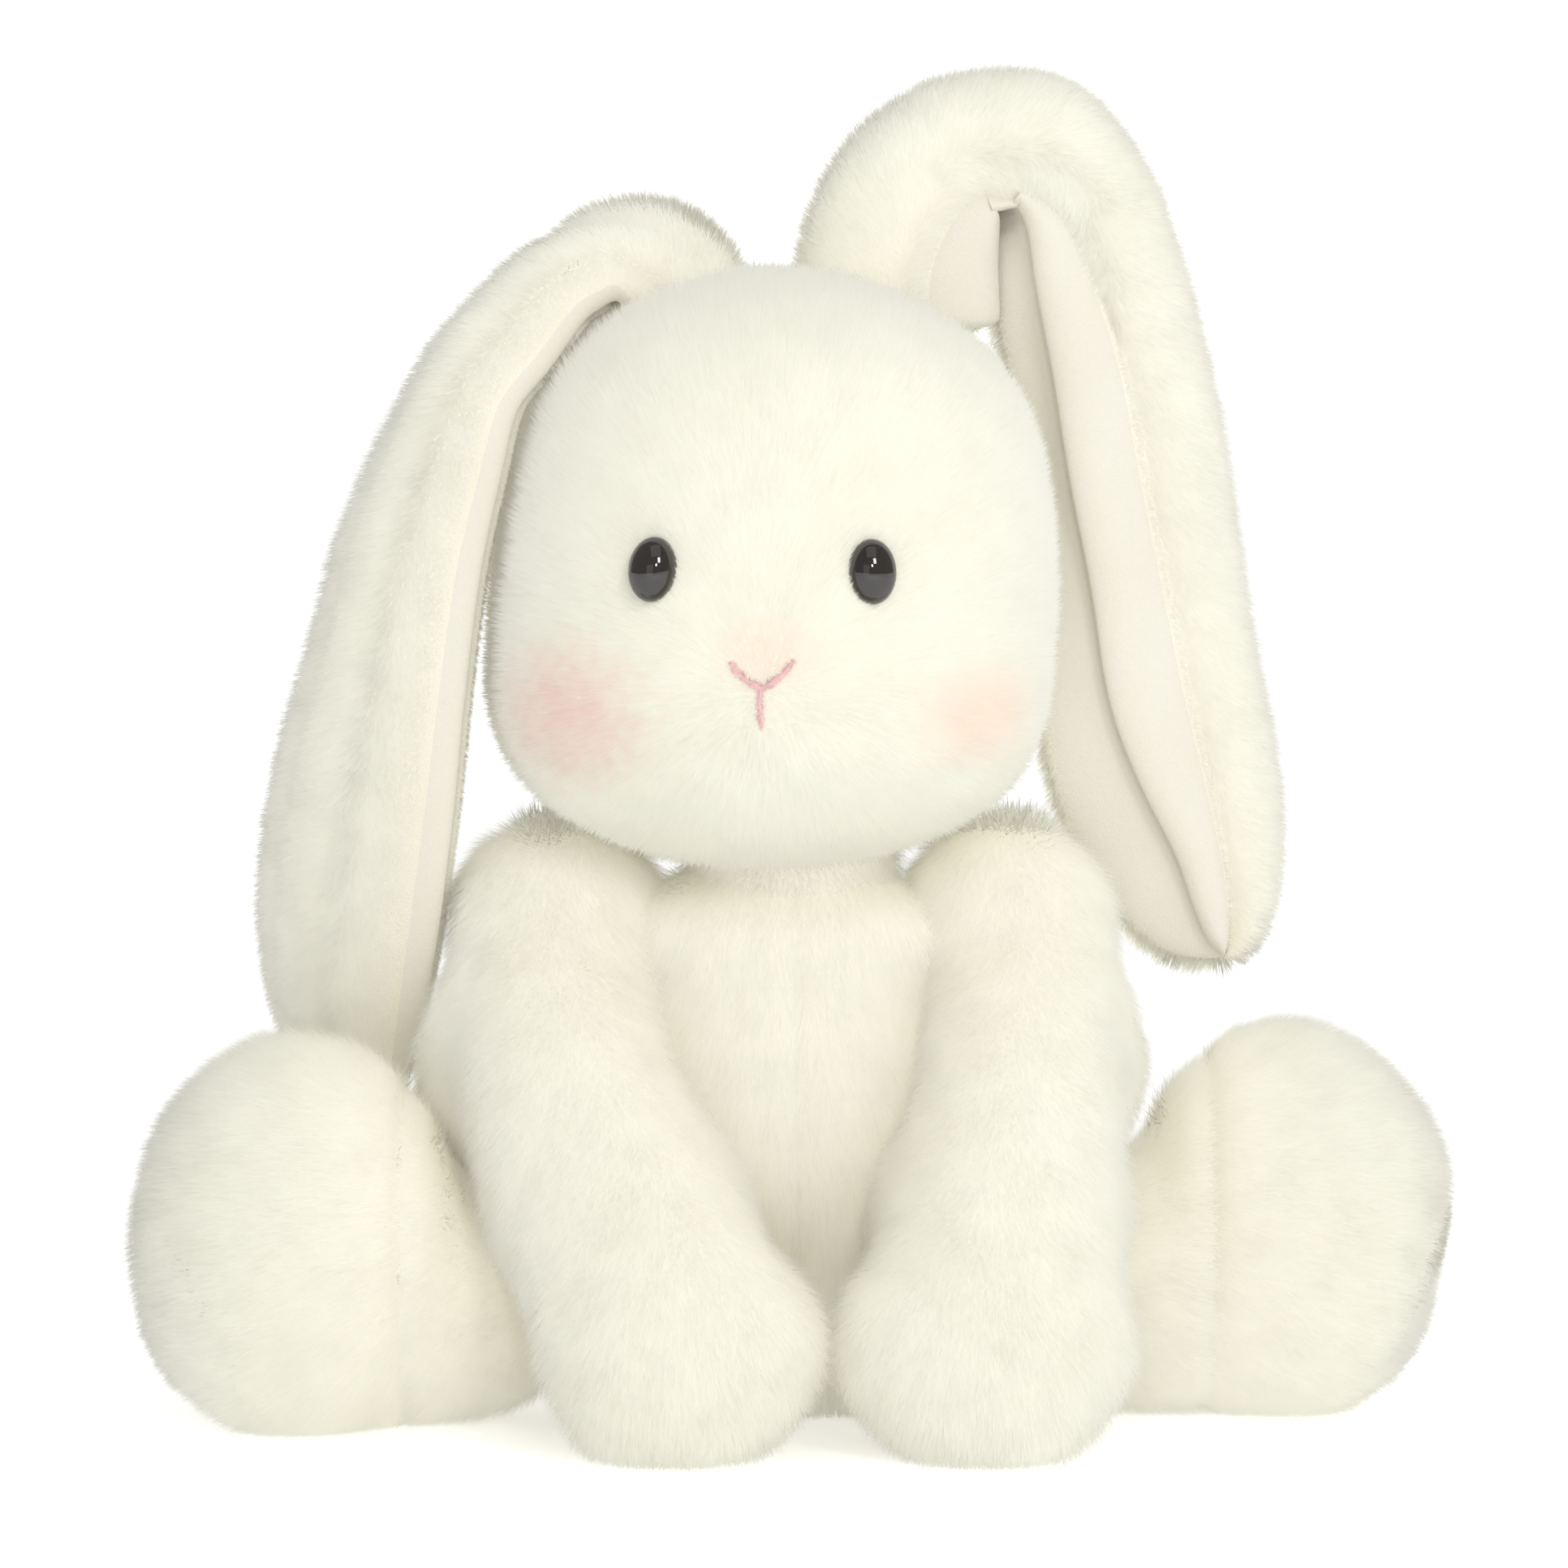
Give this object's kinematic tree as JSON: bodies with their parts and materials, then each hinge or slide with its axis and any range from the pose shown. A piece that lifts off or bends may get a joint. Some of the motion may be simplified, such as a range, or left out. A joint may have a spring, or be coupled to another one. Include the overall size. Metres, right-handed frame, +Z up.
{
  "type": "stuffed rabbit",
  "caption": "Seated cream plush rabbit with long drooping ears, glossy black oval eyes, a pink stitched nose and blushed cheeks.",
  "frame": {"origin": "on the floor under the middle of the flat seat", "axes": "+Z up, -Y the way the rabbit looks, +X towards the rabbit's own left"},
  "size_m": [0.2959, 0.1733, 0.301],
  "materials": {
    "plush": "short dense cream pile",
    "velour": "smooth cream velour",
    "polyester_fibre": "loose white fibre",
    "pouch_cloth": "woven pouch of pellets",
    "black_plastic": "polished",
    "white_plastic": "moulded",
    "pink_thread": "fuzzy thread"
  },
  "bodies": {
    "torso": {"torso_cover": "plush", "torso_stuffing": "polyester_fibre", "seat_pellet_pouch": "pouch_cloth", "tail_cover": "plush", "tail_stuffing": "polyester_fibre"},
    "neck": {"neck_stuffing": "polyester_fibre"},
    "head": {"head_cover": "plush", "head_stuffing": "polyester_fibre", "eye_left": "black_plastic", "eye_right": "black_plastic", "eye_washer_left": "white_plastic", "eye_washer_right": "white_plastic", "nose_and_mouth_stitching": "pink_thread", "ear_base_lining_left": "velour", "ear_base_back_left": "plush", "ear_base_lining_right": "velour", "ear_base_back_right": "plush"},
    "ear_lop_left": {"ear_lop_lining_left": "velour", "ear_lop_back_left": "plush"},
    "ear_lop_right": {"ear_lop_lining_right": "velour", "ear_lop_back_right": "plush"},
    "arm_left": {"arm_cover_left": "plush", "arm_stuffing_left": "polyester_fibre"},
    "arm_right": {"arm_cover_right": "plush", "arm_stuffing_right": "polyester_fibre"},
    "leg_left": {"leg_cover_left": "plush", "leg_stuffing_left": "polyester_fibre", "sole_left": "plush", "foot_pellet_pouch_left": "pouch_cloth"},
    "leg_right": {"leg_cover_right": "plush", "leg_stuffing_right": "polyester_fibre", "sole_right": "plush", "foot_pellet_pouch_right": "pouch_cloth"}
  },
  "joints": [
    {"name": "neck_turn", "type": "hinge", "parent": "torso", "child": "neck", "pos_m": [0, 0.001, 0.12775], "axis": [0, 0, 1], "range_deg": [-15, 8]},
    {"name": "head_tilt", "type": "hinge", "parent": "neck", "child": "head", "pos_m": [0, 0.001, 0.12775], "axis": [-1, 0, 0], "range_deg": [-12, 15]},
    {"name": "ear_left_flop", "type": "hinge", "parent": "head", "child": "ear_lop_left", "pos_m": [0.05337, 0.00774, 0.29089], "axis": [0, -1, 0], "range_deg": [0, 40]},
    {"name": "ear_right_flop", "type": "hinge", "parent": "head", "child": "ear_lop_right", "pos_m": [-0.05159, -0.00555, 0.2624], "axis": [0, 1, 0], "range_deg": [0, 40]},
    {"name": "arm_left_raise", "type": "hinge", "parent": "torso", "child": "arm_left", "pos_m": [0.05066, -0.01022, 0.11], "axis": [-1, 0, 0], "range_deg": [0, 50]},
    {"name": "arm_right_raise", "type": "hinge", "parent": "torso", "child": "arm_right", "pos_m": [-0.05066, -0.01022, 0.11], "axis": [-1, 0, 0], "range_deg": [0, 50]},
    {"name": "leg_left_swing", "type": "hinge", "parent": "torso", "child": "leg_left", "pos_m": [0.0484, 0.001, 0.0305], "axis": [0, 0, 1], "range_deg": [-8, 18]},
    {"name": "leg_right_swing", "type": "hinge", "parent": "torso", "child": "leg_right", "pos_m": [-0.0484, -0.002, 0.0305], "axis": [0, 0, -1], "range_deg": [-5, 15]}
  ]
}
